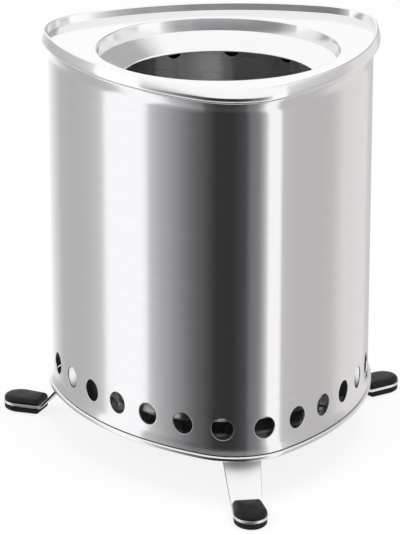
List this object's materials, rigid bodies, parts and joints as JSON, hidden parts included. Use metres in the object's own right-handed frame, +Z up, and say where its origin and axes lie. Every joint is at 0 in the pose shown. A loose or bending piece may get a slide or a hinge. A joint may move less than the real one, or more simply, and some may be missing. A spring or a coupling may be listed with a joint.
{
  "type": "portable fire pit",
  "caption": "Portable steel fire pit with a rounded three-sided sleeve, round fire drum, lift-off top ring, ash pan and grate, and folding legs.",
  "frame": {"origin": "on the ground, under the middle of the whole part's box", "axes": "+Z up, the front leg along -Y, +X to the right seen from the front"},
  "size_m": [0.3772, 0.3508, 0.3775],
  "materials": {
    "brushed_sheet": "brushed stainless sheet, grain upright",
    "ring_sheet": "spun and polished stainless",
    "fire_sheet": "dulled by heat",
    "leg_strip": "polished strip",
    "hardware": "zinc-bright fasteners",
    "foot_cap": "satin black moulding",
    "foot_sole": "dull black sole"
  },
  "bodies": {
    "root": {"outer_shell": "brushed_sheet", "base_pan": "brushed_sheet", "burn_drum": "fire_sheet", "grate_ledge": "fire_sheet", "drum_standoff_1": "hardware", "drum_standoff_2": "hardware", "drum_standoff_3": "hardware", "standoff_rivets": "hardware", "hinge_bracket_front": "hardware", "hinge_bracket_right": "hardware", "hinge_bracket_left": "hardware", "bracket_rivets": "hardware", "hinge_pin_front": "hardware", "hinge_pin_right": "hardware", "hinge_pin_left": "hardware"},
    "ring": {"top_ring": "ring_sheet", "ring_tab_front": "hardware", "ring_tab_right": "hardware", "ring_tab_left": "hardware"},
    "ash_tray": {"ash_pan": "fire_sheet"},
    "fire_grate": {"grate": "fire_sheet"},
    "leg_front": {"leg_plate_front": "leg_strip", "foot_cap_front": "foot_cap", "foot_pad_front": "foot_sole", "foot_screw_front": "hardware"},
    "leg_right": {"leg_plate_right": "leg_strip", "foot_cap_right": "foot_cap", "foot_pad_right": "foot_sole", "foot_screw_right": "hardware"},
    "leg_left": {"leg_plate_left": "leg_strip", "foot_cap_left": "foot_cap", "foot_pad_left": "foot_sole", "foot_screw_left": "hardware"}
  },
  "joints": [
    {"name": "leg_fold_front", "type": "hinge", "parent": "root", "child": "leg_front", "pos_m": [0, -0.10065, 0.0441], "axis": [1, 0, 0], "range_deg": [0, 125]},
    {"name": "leg_fold_right", "type": "hinge", "parent": "root", "child": "leg_right", "pos_m": [0.12211, 0.11085, 0.0441], "axis": [-0.5, 0.866, 0], "range_deg": [0, 125]},
    {"name": "leg_fold_left", "type": "hinge", "parent": "root", "child": "leg_left", "pos_m": [-0.12211, 0.11085, 0.0441], "axis": [-0.5, -0.866, 0], "range_deg": [0, 125]},
    {"name": "ring_lift", "type": "slide", "parent": "root", "child": "ring", "axis": [0, 0, 1], "range_m": [0, 0.06]},
    {"name": "ash_pan_lift", "type": "slide", "parent": "root", "child": "ash_tray", "axis": [0, 0, 1], "range_m": [0, 0.34]},
    {"name": "grate_lift", "type": "slide", "parent": "ash_tray", "child": "fire_grate", "axis": [0, 0, 1], "range_m": [0, 0.04]}
  ]
}
